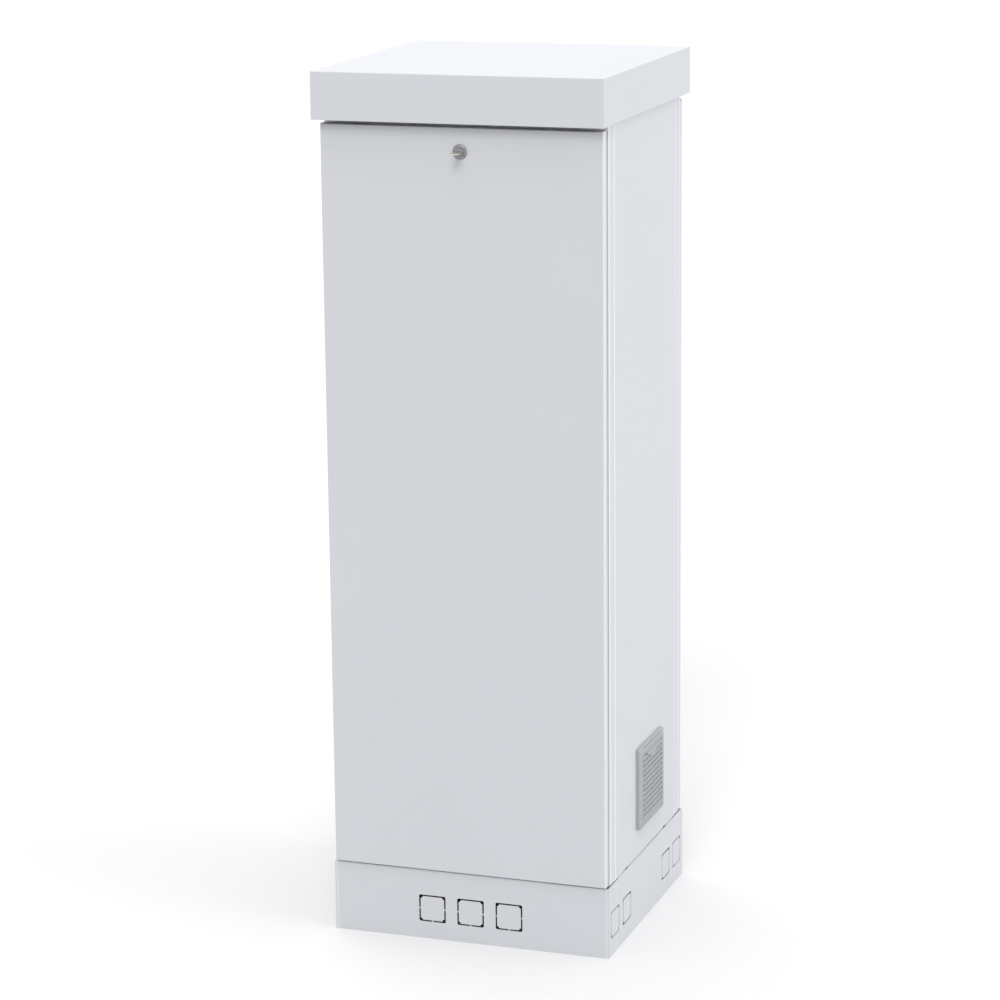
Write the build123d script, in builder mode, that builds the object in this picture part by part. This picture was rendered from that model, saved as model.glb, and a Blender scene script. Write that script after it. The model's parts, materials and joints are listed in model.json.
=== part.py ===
from build123d import *
from math import atan2, degrees, hypot, pi, tan
import os

# Floor-standing rack cabinet: plinth, folded frame, sheet panels, tilting front door, hood and filter unit.
# Millimetres. +Z is up, the door faces -Y, and the origin is on the floor under the plinth's centre.

# Plinth
plinth_width = 600.0
plinth_depth = 545.0
plinth_height = 150.0
plinth_sheet = 2.0
plinth_flange = 25.0
plinth_seam = 0.8
corner_size = 70.0
corner_wall = 3.0
corner_plate = 5.0
anchor_inset = 45.0
anchor_hole = 14.0

# Knockouts for cables in the plinth sheets
knockout_size = 55.0
knockout_slot = 3.4
knockout_relief = 7.5
relief_sides = 8
knockout_bridge = 2.5
knockout_height = 66.0
knockout_pitch = 84.0
knockout_side_inset = 44.0

# Body frame
sheet = 1.5
frame_sheet = 2.0
bend = 2.5
body_side_inset = 3.0
body_end_inset = 19.7
body_height = 1558.0
frame_inset = 2.0
post_strip = 30.8
post_step = 12.0
post_landing = 22.0
post_front = 35.0
lip_reach = 14.7
base_lip_rise = 33.0
top_lip_drop = 28.0
lip_gap = 0.5
vent_length = 150.0
vent_width = 12.0
vent_pitch = 36.0
vent_rows = 5
vent_spread = 200.0

# Side panels
side_proud = 1.0
side_gap = 0.7
side_lip = 18.0
foot_slot_length = 17.0
foot_slot_height = 3.5
foot_slot_depth = 10.0
foot_slot_inset = 81.0
side_stud_margin = 200.0

# Doors front and rear
door_side_inset = 2.25
door_lift = 3.2
door_drop = 9.0
door_depth = 21.2
door_gap = 5.7
door_lip = 15.0
gasket_width = 16.0
seal_gap = 0.3
stiffener_inset = 164.75
stiffener_width = 40.0
stiffener_foot = 14.0
stiffener_depth = 18.0
stiffener_sheet = 1.2
stiffener_margin = 75.0
rear_stud_margin = 120.0

# Door pivots at the foot
pivot_inset = 94.75
pivot_rise = 9.8
pivot_behind_face = 13.7
pivot_pin = 8.0
pivot_play = 0.3
pivot_ear = 14.0
pivot_ear_sheet = 3.0
pivot_plate_width = 40.0
pivot_plate_height = 20.0
hook_width = 12.0
hook_side_gap = 1.0
hook_round = 17.0
hook_plate_width = 60.0
hook_plate_height = 15.0
hook_plate_sheet = 3.0
hook_notch_width = 50.0
hook_notch_height = 18.8
hook_notch_depth = 17.5

# Lock
lock_drop = 48.0
lock_flange = 30.0
lock_flange_depth = 3.0
lock_barrel = 19.0
lock_barrel_length = 31.0
lock_hole_play = 0.2
lock_nut_flats = 24.0
lock_nut_depth = 6.0
plug_bore = 12.2
plug_play = 0.1
plug_face = 17.0
plug_face_depth = 1.2
plug_square = 7.0
keyway_height = 2.4
keyway_width = 9.0
keyway_depth = 18.0
key_sheet = 2.0
key_blade = 8.0
key_neck = 14.0
key_bow_width = 20.0
key_bow_length = 22.0
key_bow_corner = 6.0
key_ring_hole = 5.0
cam_sheet = 3.0
cam_width = 14.0
cam_reach = 42.0
rivet_proud = 1.0

# Hood
hood_side_overhang = 6.4
hood_end_overhang = 53.6
hood_lift = 0.75
hood_height = 96.5
hood_lip = 12.0
hood_bend = 2.0
hood_rail_inset = 47.0
hood_rail_end_inset = 32.8
hood_rail_flange = 25.0

# Cable entry in the base
cable_opening_width = 320.0
cable_opening_depth = 140.0
cable_opening_inset = 62.8
gland_margin = 20.0
gland_sheet = 2.0
cable_slot_length = 270.0
cable_slot_width = 50.0
cable_strip_margin = 12.0
cable_strip_height = 20.0

# Equipment rails and their braces: the rails' holes come 465.1 apart, as 19-inch equipment needs
rail_step = 44.45
rail_low_hole = 6.35
rail_high_hole = 38.1
rail_hole = 9.5
rail_side_inset = 27.0
rail_flange = 31.0
rail_hole_inset = 23.45
rail_end_margin = 8.0
rail_lift = 38.0
rail_inset = 62.8
rail_leg = 35.0
brace_height = 36.0
brace_low_rise = 24.0
brace_high_drop = 32.85

# Filter unit on the right side panel
filter_y = 15.0
filter_rise = 148.0
cover_size = 176.0
cover_wall = 2.5
cover_edge = 6.0
cover_depth = 10.0
cover_bevel = 8.0
cover_gap = 0.3
louvre_field = 140.0
slat_count = 13
slat_length = 10.0
slat_sheet = 2.2
slat_angle = -45.0
slat_centre = 8.75
latch_width = 100.0
latch_foot = 28.0
latch_height = 16.0
latch_depth = 3.0
latch_proud = 2.0
grip_length = 128.0
grip_width = 2.0
grip_depth = 1.2
hinge_out = 4.0
hinge_round = 3.6
hinge_pin = 2.5
hinge_play = 0.15
hinge_place = 60.0
hinge_lug_width = 6.0
hinge_lug_gap = 1.0
hinge_lug = 3.2
hinge_pin_grip = 8.0
panel_cutout = 125.0
filter_flange = 154.0
filter_flange_depth = 4.0
filter_sleeve = 124.0
filter_sleeve_wall = 3.0
filter_sleeve_depth = 25.0
filter_bar = 2.5
filter_bar_count = 3
mat_depth = 15.0
mat_play = 0.3

# Studs and nuts
base_stud_shank = 10.0
base_stud_flats = 17.0
base_stud_nut = 8.0
stud_shank = 6.0
stud_flats = 10.0
stud_nut = 5.0
stud_play = 0.2

# Added to every cut so that it passes the face it starts from
overrun = 1.0

# Places that follow from the sizes above
plinth_x = plinth_width / 2
plinth_y = plinth_depth / 2
body_width = plinth_width - 2 * body_side_inset
body_depth = plinth_depth - 2 * body_end_inset
body_top = plinth_height + body_height
side_x = body_width / 2
body_y = body_depth / 2
base_top = plinth_height + frame_sheet
base_lip_height = base_top + base_lip_rise
top_lip_height = body_top - top_lip_drop
landing_x = side_x - post_step
lip_x = side_x - post_front
lip_y = body_y + lip_reach
door_width = body_width - 2 * door_side_inset
door_bottom = plinth_height + door_lift
door_top = body_top - door_drop
door_back_y = body_y + door_gap
door_face_y = door_back_y + door_depth
door_height = door_top - door_bottom
door_middle = (door_top + door_bottom) / 2
door_inside_y = door_face_y - sheet
pivot_place = door_width / 2 - pivot_inset
pivot_height = door_bottom + pivot_rise
pivot_y = door_face_y - pivot_behind_face
lock_height = door_top - lock_drop
post_length = body_top - frame_sheet - base_top
half = frame_sheet / 2
panel_face_x = side_x + side_proud
filter_z = base_top + filter_rise
hinge_x = panel_face_x + hinge_out
hinge_z = filter_z - cover_size / 2 + hinge_round
rail_side_face = landing_x - frame_sheet - rail_side_inset
rail_front = body_y - rail_inset
rail_foot = base_top + rail_lift
unit_count = int((top_lip_height - rail_foot - 2 * rail_end_margin) / rail_step)
rail_length = unit_count * rail_step + 2 * rail_end_margin
brace_heights = {"low": rail_foot + brace_low_rise, "high": rail_foot + rail_length - brace_high_drop}
sides = {"left": -1, "right": 1}
ends = {"front": -1, "rear": 1}


def front_plane(y):
    """Upright plane at y that faces -Y, with X across and Z up."""
    return Plane.XZ.offset(-y)


def side_plane(x):
    """Upright plane at x that faces +X, with Y across and Z up."""
    return Plane.YZ.offset(x)


def save(part, name):
    """Label a finished piece and write it."""
    part.label = name
    export_step(part, f"parts/{name}.step")


def folded(plane, path, thickness, length, rounded=()):
    """Sheet folded along a path through its middle, with a bend radius at the corners named as rounded."""
    with BuildPart() as strip:
        with BuildSketch(plane) as section:
            with BuildLine():
                Polyline(*path)
            trace(line_width=thickness)
            for corner in rounded:
                fillet(section.vertices().sort_by_distance(corner)[0], bend)
        extrude(amount=length)
    return strip.part


def tray(face, width, height, depth, lip):
    """Sheet panel with four folded edges and inward lips, face being its outer plane."""
    with BuildPart() as pocket:
        with BuildSketch(face.offset(-sheet)):
            Rectangle(width - 2 * sheet, height - 2 * sheet)
        extrude(amount=-(depth - 2 * sheet))
        with BuildSketch(face.offset(-depth + sheet)):
            Rectangle(width - 2 * lip, height - 2 * lip)
        extrude(amount=-(sheet + overrun))
    with BuildPart() as panel:
        with BuildSketch(face):
            Rectangle(width, height)
        extrude(amount=-depth)
        fillet(panel.faces().sort_by(Axis(face.origin, face.z_dir))[-1].edges(), bend)
        add(pocket.part, mode=Mode.SUBTRACT)
    return panel.part


def square_studs(seats, nut, flats, shank, length):
    """Square-necked studs with hexagon nuts, each on a seat plane whose normal points out of the nut."""
    with BuildPart() as studs:
        for seat in seats:
            with BuildSketch(seat):
                RegularPolygon(radius=flats / 2, side_count=6, major_radius=False)
            extrude(amount=nut)
            with BuildSketch(seat):
                Rectangle(shank, shank)
            extrude(amount=-length)
    return studs.part


def gasket_ring(face, depth):
    """Foam seal laid where the lips of the body meet a door, face being its glued side."""
    across = 2 * lip_x + frame_sheet
    up = top_lip_height - base_lip_height + 2 * frame_sheet
    with BuildPart() as ring:
        with BuildSketch(face):
            Rectangle(across + gasket_width, up + gasket_width)
            Rectangle(across - gasket_width, up - gasket_width, mode=Mode.SUBTRACT)
        extrude(amount=-depth)
    return ring.part


os.makedirs("parts", exist_ok=True)

# Outline of one knockout: laser slot with relief holes inside its cut corners, and three bridges
knockout_outside = knockout_size + knockout_slot
relief_turn = pi / relief_sides
relief_pitch = knockout_outside - knockout_relief
with BuildSketch() as knockout:
    Rectangle(knockout_outside, knockout_outside)
    chamfer(knockout.vertices(), knockout_relief / 2 * (1 - tan(relief_turn)))
    Rectangle(knockout_size - knockout_slot, knockout_size - knockout_slot, mode=Mode.SUBTRACT)
    with GridLocations(relief_pitch, relief_pitch, 2, 2):
        RegularPolygon(knockout_relief / 2, relief_sides, major_radius=False, rotation=degrees(relief_turn))
    with Locations((-knockout_size / 2, 0), (knockout_size / 2, 0)):
        Rectangle(2 * knockout_slot, knockout_bridge, mode=Mode.SUBTRACT)
    with Locations((0, -knockout_size / 2)):
        Rectangle(knockout_bridge, 2 * knockout_slot, mode=Mode.SUBTRACT)

# Plinth front and rear sheets, lapped over the ends of the side sheets
corner_x = plinth_x - plinth_sheet - corner_size
corner_y = plinth_y - plinth_sheet - corner_size
flange_y = plinth_y - plinth_flange
web_y = plinth_y - plinth_sheet / 2
for end_name, end in ends.items():
    sheet_path = (
        (end * flange_y, plinth_height - plinth_sheet / 2),
        (end * web_y, plinth_height - plinth_sheet / 2),
        (end * web_y, plinth_sheet / 2),
        (end * flange_y, plinth_sheet / 2),
    )
    with BuildPart() as plinth_end:
        add(folded(side_plane(-plinth_x), sheet_path, plinth_sheet, plinth_width))
        flange_cut_y = plinth_y - plinth_sheet - (plinth_flange + overrun) / 2
        with Locations(
            (-(plinth_x + corner_x) / 2, end * flange_cut_y, plinth_height / 2),
            ((plinth_x + corner_x) / 2, end * flange_cut_y, plinth_height / 2),
        ):
            Box(plinth_x - corner_x, plinth_flange + overrun, plinth_height, mode=Mode.SUBTRACT)
        if end_name == "front":
            with BuildSketch(front_plane(-plinth_y - overrun)):
                with Locations((0, knockout_height)):
                    with GridLocations(knockout_pitch, 0, 3, 1):
                        add(knockout.sketch)
            extrude(amount=-(plinth_sheet + 2 * overrun), mode=Mode.SUBTRACT)
    save(plinth_end.part, f"plinth_{end_name}")

# Plinth side sheets
side_length = plinth_depth - 2 * plinth_sheet - 2 * plinth_seam
knockout_outer = plinth_y - knockout_side_inset
knockout_inner = knockout_outer - knockout_pitch
for side_name, side in sides.items():
    flange_x = side * (plinth_x - plinth_flange)
    web_x = side * (plinth_x - plinth_sheet / 2)
    sheet_path = (
        (flange_x, plinth_height - plinth_sheet / 2),
        (web_x, plinth_height - plinth_sheet / 2),
        (web_x, plinth_sheet / 2),
        (flange_x, plinth_sheet / 2),
    )
    flange_cut_x = side * (plinth_x - plinth_sheet - (plinth_flange + overrun) / 2)
    with BuildPart() as plinth_side:
        add(folded(front_plane(side_length / 2), sheet_path, plinth_sheet, side_length))
        with Locations(
            (flange_cut_x, -(plinth_y + corner_y) / 2, plinth_height / 2),
            (flange_cut_x, (plinth_y + corner_y) / 2, plinth_height / 2),
        ):
            Box(plinth_flange + overrun, plinth_y - corner_y, plinth_height, mode=Mode.SUBTRACT)
        with BuildSketch(side_plane(side * plinth_x - (plinth_sheet + overrun))):
            with Locations(
                (-knockout_outer, knockout_height),
                (-knockout_inner, knockout_height),
                (knockout_inner, knockout_height),
                (knockout_outer, knockout_height),
            ):
                add(knockout.sketch)
        extrude(amount=2 * (plinth_sheet + overrun), mode=Mode.SUBTRACT)
    save(plinth_side.part, f"plinth_{side_name}")

# Plinth corners: foot plate with the anchor hole, top plate for the base stud, two upright walls
anchor_x = plinth_x - anchor_inset
anchor_y = plinth_y - anchor_inset
for end_name, end in ends.items():
    for side_name, side in sides.items():
        middle_x = side * (corner_x + corner_size / 2)
        middle_y = end * (corner_y + corner_size / 2)
        with BuildPart() as corner:
            with BuildSketch():
                with Locations((middle_x, middle_y)):
                    Rectangle(corner_size, corner_size)
            extrude(amount=plinth_height)
            with BuildSketch(Plane.XY.offset(corner_plate)):
                with Locations((middle_x - side * corner_wall, middle_y - end * corner_wall)):
                    Rectangle(corner_size, corner_size)
            extrude(amount=plinth_height - 2 * corner_plate, mode=Mode.SUBTRACT)
            with BuildSketch():
                with Locations((side * anchor_x, end * anchor_y)):
                    Circle(anchor_hole / 2)
            extrude(amount=corner_plate, mode=Mode.SUBTRACT)
            with BuildSketch(Plane.XY.offset(plinth_height - corner_plate)):
                with Locations((side * anchor_x, end * anchor_y)):
                    Rectangle(base_stud_shank + 2 * stud_play, base_stud_shank + 2 * stud_play)
            extrude(amount=corner_plate, mode=Mode.SUBTRACT)
        save(corner.part, f"plinth_corner_{end_name}_{side_name}")

# Base frame: floor sheet with front and rear upstands that end in seal lips, cut back behind the side panels
floor_z = plinth_height + frame_sheet / 2
upstand_y = body_y - frame_sheet / 2
base_path = (
    (-lip_y, base_lip_height - frame_sheet / 2),
    (-upstand_y, base_lip_height - frame_sheet / 2),
    (-upstand_y, floor_z),
    (upstand_y, floor_z),
    (upstand_y, base_lip_height - frame_sheet / 2),
    (lip_y, base_lip_height - frame_sheet / 2),
)
cable_opening_back = body_y - cable_opening_inset - cable_opening_depth / 2
lip_length = 2 * (lip_x - lip_gap)
floor_depth = 2 * (body_y - frame_sheet)
floor_width = body_width - 2 * frame_inset
wing_width = (floor_width - lip_length) / 2
wing_x = (floor_width + lip_length) / 4
cutback = side_x - landing_x + lip_gap
cutback_x = side_x - cutback / 2
cutback_length = 2 * (body_y - post_strip)
with BuildPart() as base_frame:
    add(folded(side_plane(-lip_length / 2), base_path, frame_sheet, lip_length))
    with Locations((-wing_x, 0, floor_z), (wing_x, 0, floor_z)):
        Box(wing_width, floor_depth, frame_sheet)
    with Locations((-cutback_x, 0, floor_z), (cutback_x, 0, floor_z)):
        Box(cutback, cutback_length, frame_sheet, mode=Mode.SUBTRACT)
    with BuildSketch(Plane.XY.offset(plinth_height)):
        with Locations((0, cable_opening_back)):
            Rectangle(cable_opening_width, cable_opening_depth)
        with GridLocations(2 * anchor_x, 2 * anchor_y, 2, 2):
            Rectangle(base_stud_shank + 2 * stud_play, base_stud_shank + 2 * stud_play)
    extrude(amount=frame_sheet, mode=Mode.SUBTRACT)
save(base_frame.part, "base_frame")

# Studs that hold the base frame on the plinth corners, with their nuts on the base frame
stud_grid = GridLocations(2 * anchor_x, 2 * anchor_y, 2, 2)
base_seats = [Plane.XY.offset(base_top).move(place) for place in stud_grid]
base_stud_length = frame_sheet + corner_plate
base_studs = square_studs(base_seats, base_stud_nut, base_stud_flats, base_stud_shank, base_stud_length)
save(base_studs, "base_studs")

# Gland plate over the cable opening, with a slot that two foam strips close around the cables
with BuildPart() as gland_plate:
    with BuildSketch(Plane.XY.offset(base_top)):
        with Locations((0, cable_opening_back)):
            Rectangle(cable_opening_width + 2 * gland_margin, cable_opening_depth + 2 * gland_margin)
            Rectangle(cable_slot_length, cable_slot_width, mode=Mode.SUBTRACT)
    extrude(amount=gland_sheet)
save(gland_plate.part, "gland_plate")

strip_width = cable_slot_width / 2 + cable_strip_margin
for strip_name, strip_side in ends.items():
    with BuildPart() as cable_strip:
        with BuildSketch(Plane.XY.offset(base_top + gland_sheet)):
            with Locations((0, cable_opening_back + strip_side * strip_width / 2)):
                Rectangle(cable_slot_length + 2 * cable_strip_margin, strip_width)
        extrude(amount=cable_strip_height)
    save(cable_strip.part, f"cable_strip_{strip_name}")

# Corner posts: seal lip, front leg, outer strip, step and the landing that a side panel seats on
stud_hole = stud_shank + 2 * stud_play
side_stud_heights = (base_top + side_stud_margin, body_top - side_stud_margin)
landing_stud_y = body_y - post_strip - post_landing / 2
lip_trims = (
    (base_top, base_lip_height - frame_sheet),
    (top_lip_height + frame_sheet, body_top - frame_sheet),
)
rear_stud_x = door_width / 2 - door_lip / 2
rear_stud_heights = (door_bottom + rear_stud_margin, door_middle, door_top - rear_stud_margin)
for end_name, end in ends.items():
    for side_name, side in sides.items():
        post_path = (
            (side * (lip_x + half), end * lip_y),
            (side * (lip_x + half), end * (body_y - half)),
            (side * (side_x - half), end * (body_y - half)),
            (side * (side_x - half), end * (body_y - post_strip + half)),
            (side * (landing_x - half), end * (body_y - post_strip + half)),
            (side * (landing_x - half), end * (body_y - post_strip - post_landing)),
        )
        with BuildPart() as post:
            outer_corners = (
                (side * side_x, end * body_y, base_top),
                (side * side_x, end * (body_y - post_strip), base_top),
            )
            add(folded(Plane.XY.offset(base_top), post_path, frame_sheet, post_length, outer_corners))
            for low, high in lip_trims:
                with Locations((side * lip_x, end * (body_y + lip_reach), (low + high) / 2)):
                    Box(2 * post_front, 2 * lip_reach, high - low, mode=Mode.SUBTRACT)
            with BuildSketch(side_plane(side * (landing_x - half) - frame_sheet)):
                with Locations(*[(end * landing_stud_y, z) for z in side_stud_heights]):
                    Rectangle(stud_hole, stud_hole)
            extrude(amount=2 * frame_sheet, mode=Mode.SUBTRACT)
            if end_name == "rear":
                with BuildSketch(front_plane(body_y + overrun)):
                    with Locations(*[(side * rear_stud_x, z) for z in rear_stud_heights]):
                        Rectangle(stud_hole, stud_hole)
                extrude(amount=frame_sheet + 2 * overrun, mode=Mode.SUBTRACT)
        save(post.part, f"post_{end_name}_{side_name}")

# Top frame: roof sheet with vent slots, turned down at front and rear into the seal lips
roof_z = body_top - frame_sheet / 2
top_path = (
    (-lip_y, top_lip_height + half),
    (-upstand_y, top_lip_height + half),
    (-upstand_y, roof_z),
    (upstand_y, roof_z),
    (upstand_y, top_lip_height + half),
    (lip_y, top_lip_height + half),
)
with BuildPart() as top_frame:
    add(folded(side_plane(-lip_length / 2), top_path, frame_sheet, lip_length))
    with Locations((-wing_x, 0, roof_z), (wing_x, 0, roof_z)):
        Box(wing_width, floor_depth, frame_sheet)
    with Locations((-cutback_x, 0, roof_z), (cutback_x, 0, roof_z)):
        Box(cutback, cutback_length, frame_sheet, mode=Mode.SUBTRACT)
    with BuildSketch(Plane.XY.offset(body_top - frame_sheet)):
        with GridLocations(vent_spread, vent_pitch, 2, vent_rows):
            Rectangle(vent_length, vent_width)
    extrude(amount=frame_sheet, mode=Mode.SUBTRACT)
save(top_frame.part, "top_frame")

# Side panels: trays between the posts, slotted at the foot, the right one cut out for the filter unit
panel_width = 2 * (body_y - post_strip - side_gap)
panel_height = body_height - 2 * side_gap
panel_middle = plinth_height + body_height / 2
panel_depth = panel_face_x - landing_x
panel_bottom = plinth_height + side_gap
foot_slot_place = panel_width / 2 - foot_slot_inset
for side_name, side in sides.items():
    outer = Plane(origin=(side * panel_face_x, 0, panel_middle), x_dir=(0, side, 0), z_dir=(side, 0, 0))
    with BuildPart() as side_panel:
        add(tray(outer, panel_width, panel_height, panel_depth, side_lip))
        with Locations(
            (side * panel_face_x, -foot_slot_place, panel_bottom),
            (side * panel_face_x, foot_slot_place, panel_bottom),
        ):
            Box(2 * foot_slot_depth, foot_slot_length, 2 * foot_slot_height, mode=Mode.SUBTRACT)
        if side_name == "right":
            with BuildSketch(side_plane(panel_face_x + overrun)):
                with Locations((filter_y, filter_z)):
                    Rectangle(panel_cutout, panel_cutout)
            extrude(amount=-(sheet + 2 * overrun), mode=Mode.SUBTRACT)
    save(side_panel.part, f"side_panel_{side_name}")

# Studs welded to the lips of the side panels, with their nuts inside the posts
side_seats = [
    Plane(
        origin=(side * (landing_x - frame_sheet), end * landing_stud_y, z),
        x_dir=(0, 1, 0),
        z_dir=(-side, 0, 0),
    )
    for side in sides.values()
    for end in ends.values()
    for z in side_stud_heights
]
save(square_studs(side_seats, stud_nut, stud_flats, stud_shank, frame_sheet), "side_panel_studs")

# Rear panel, with its seal, hung on welded studs whose nuts are inside the body
rear_face = Plane(origin=(0, door_face_y, door_middle), x_dir=(-1, 0, 0), z_dir=(0, 1, 0))
save(tray(rear_face, door_width, door_height, door_depth, door_lip), "rear_panel")

seal_middle = (top_lip_height + base_lip_height) / 2
seal_depth = door_inside_y - lip_y - seal_gap
rear_seal_face = Plane(origin=(0, door_inside_y, seal_middle), x_dir=(-1, 0, 0), z_dir=(0, 1, 0))
save(gasket_ring(rear_seal_face, seal_depth), "rear_gasket")

rear_seats = [
    Plane(origin=(side * rear_stud_x, body_y - frame_sheet, z), x_dir=(1, 0, 0), z_dir=(0, -1, 0))
    for side in sides.values()
    for z in rear_stud_heights
]
save(square_studs(rear_seats, stud_nut, stud_flats, stud_shank, frame_sheet + door_gap), "rear_panel_studs")

# Hood: folded cap with a lip turned in along its lower edge, carried by two channels
hood_width = body_width + 2 * hood_side_overhang
hood_depth = body_depth + 2 * hood_end_overhang
hood_bottom = body_top + hood_lift
with BuildPart() as hood:
    with BuildSketch(Plane.XY.offset(hood_bottom)):
        Rectangle(hood_width, hood_depth)
    extrude(amount=hood_height)
    fillet(hood.faces().sort_by(Axis.Z)[-1].edges(), hood_bend)
    with BuildSketch(Plane.XY.offset(hood_bottom + sheet)):
        Rectangle(hood_width - 2 * sheet, hood_depth - 2 * sheet)
    extrude(amount=hood_height - 2 * sheet, mode=Mode.SUBTRACT)
    with BuildSketch(Plane.XY.offset(hood_bottom)):
        Rectangle(hood_width - 2 * hood_lip, hood_depth - 2 * hood_lip)
    extrude(amount=sheet, mode=Mode.SUBTRACT)
save(hood.part, "hood")

hood_ceiling = hood_bottom + hood_height - sheet
hood_rail_place = side_x - hood_rail_inset
hood_rail_length = body_depth - 2 * hood_rail_end_inset
for side_name, side in sides.items():
    channel_path = (
        (side * (hood_rail_place - hood_rail_flange), body_top + half),
        (side * hood_rail_place, body_top + half),
        (side * hood_rail_place, hood_ceiling - half),
        (side * (hood_rail_place - hood_rail_flange), hood_ceiling - half),
    )
    channel = folded(front_plane(hood_rail_length / 2), channel_path, frame_sheet, hood_rail_length)
    save(channel, f"hood_rail_{side_name}")

# Depth braces from the front posts to the rear posts
brace_y = body_y - post_strip - frame_sheet
for height_name, height in brace_heights.items():
    for side_name, side in sides.items():
        brace_path = (
            (side * (landing_x - frame_sheet), height + brace_height / 2 - half),
            (side * (rail_side_face + half), height + brace_height / 2 - half),
            (side * (rail_side_face + half), height - brace_height / 2 + half),
            (side * (landing_x - frame_sheet), height - brace_height / 2 + half),
        )
        with BuildPart() as brace:
            add(folded(front_plane(brace_y), brace_path, frame_sheet, 2 * brace_y))
            with BuildSketch(side_plane(side * (rail_side_face + half) - frame_sheet)):
                with Locations((-rail_front + rail_leg / 2, height)):
                    Rectangle(stud_hole, stud_hole)
            extrude(amount=2 * frame_sheet, mode=Mode.SUBTRACT)
        save(brace.part, f"brace_{height_name}_{side_name}")

# Equipment rails with two square holes in each unit of height
unit_feet = [rail_foot + rail_end_margin + count * rail_step for count in range(unit_count)]
hole_heights = [foot + place for foot in unit_feet for place in (rail_low_hole, rail_high_hole)]
for side_name, side in sides.items():
    rail_path = (
        (side * (rail_side_face - rail_flange), -rail_front + half),
        (side * (rail_side_face - half), -rail_front + half),
        (side * (rail_side_face - half), -rail_front + rail_leg),
    )
    with BuildPart() as rail:
        add(folded(Plane.XY.offset(rail_foot), rail_path, frame_sheet, rail_length))
        with BuildSketch(front_plane(-rail_front - overrun)):
            with Locations(*[(side * (rail_side_face - rail_hole_inset), z) for z in hole_heights]):
                Rectangle(rail_hole, rail_hole)
        extrude(amount=-(frame_sheet + 2 * overrun), mode=Mode.SUBTRACT)
        with BuildSketch(side_plane(side * (rail_side_face - half) - frame_sheet)):
            with Locations(*[(-rail_front + rail_leg / 2, z) for z in brace_heights.values()]):
                Rectangle(stud_hole, stud_hole)
        extrude(amount=2 * frame_sheet, mode=Mode.SUBTRACT)
    save(rail.part, f"rail_{side_name}")

rail_seats = [
    Plane(
        origin=(side * (rail_side_face - frame_sheet), -rail_front + rail_leg / 2, z),
        x_dir=(0, 1, 0),
        z_dir=(-side, 0, 0),
    )
    for side in sides.values()
    for z in brace_heights.values()
]
save(square_studs(rail_seats, stud_nut, stud_flats, stud_shank, 2 * frame_sheet), "rail_studs")

# Door pivots: brackets on the base frame's upstand, each with a pin welded between two ears
ear_inside = hook_width / 2 + hook_side_gap
for side_name, side in sides.items():
    with BuildPart() as pivot_bracket:
        with BuildSketch(front_plane(-body_y)):
            with Locations((side * pivot_place, pivot_height)):
                Rectangle(pivot_plate_width, pivot_plate_height)
        extrude(amount=pivot_ear_sheet)
        with BuildSketch(
            side_plane(side * pivot_place + ear_inside),
            side_plane(side * pivot_place - ear_inside - pivot_ear_sheet),
        ):
            with Locations((-(pivot_y + body_y) / 2 - pivot_ear / 4, pivot_height)):
                Rectangle(pivot_y - body_y + pivot_ear / 2, pivot_ear)
        extrude(amount=pivot_ear_sheet)
        with BuildSketch(side_plane(side * pivot_place - ear_inside)):
            with Locations((-pivot_y, pivot_height)):
                Circle(pivot_pin / 2)
        extrude(amount=2 * ear_inside)
    save(pivot_bracket.part, f"pivot_bracket_{side_name}")

# Front door: tray with the lock hole and two notches at the foot for the pivots
front_face = Plane(origin=(0, -door_face_y, door_middle), x_dir=(1, 0, 0), z_dir=(0, -1, 0))
with BuildPart() as front_door:
    add(tray(front_face, door_width, door_height, door_depth, door_lip))
    with BuildSketch(front_plane(-door_face_y - overrun)):
        with Locations((0, lock_height)):
            Circle(lock_barrel / 2 + lock_hole_play)
    extrude(amount=-(sheet + 2 * overrun), mode=Mode.SUBTRACT)
    with BuildSketch(Plane.XY.offset(door_bottom - overrun)):
        with GridLocations(2 * pivot_place, 0, 2, 1):
            with Locations((0, -door_back_y - hook_notch_depth / 2 + overrun)):
                Rectangle(hook_notch_width, hook_notch_depth + 2 * overrun)
    extrude(amount=hook_notch_height + overrun, mode=Mode.SUBTRACT)
save(front_door.part, "front_door")

front_seal_face = Plane(origin=(0, -door_inside_y, seal_middle), x_dir=(1, 0, 0), z_dir=(0, -1, 0))
save(gasket_ring(front_seal_face, seal_depth), "door_gasket")

# Door stiffeners: hat sections on the inside of the door
stiffener_place = door_width / 2 - stiffener_inset
stiffener_y = -door_inside_y + stiffener_sheet / 2
stiffener_length = top_lip_height - base_lip_height - 2 * stiffener_margin
for side_name, side in sides.items():
    flat = side * stiffener_place
    hat_path = (
        (flat - stiffener_width / 2 - stiffener_foot, stiffener_y),
        (flat - stiffener_width / 2, stiffener_y),
        (flat - stiffener_width / 2, stiffener_y + stiffener_depth),
        (flat + stiffener_width / 2, stiffener_y + stiffener_depth),
        (flat + stiffener_width / 2, stiffener_y),
        (flat + stiffener_width / 2 + stiffener_foot, stiffener_y),
    )
    hat_foot = Plane.XY.offset(base_lip_height + stiffener_margin)
    hat = folded(hat_foot, hat_path, stiffener_sheet, stiffener_length)
    save(hat, f"door_stiffener_{side_name}")

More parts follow.
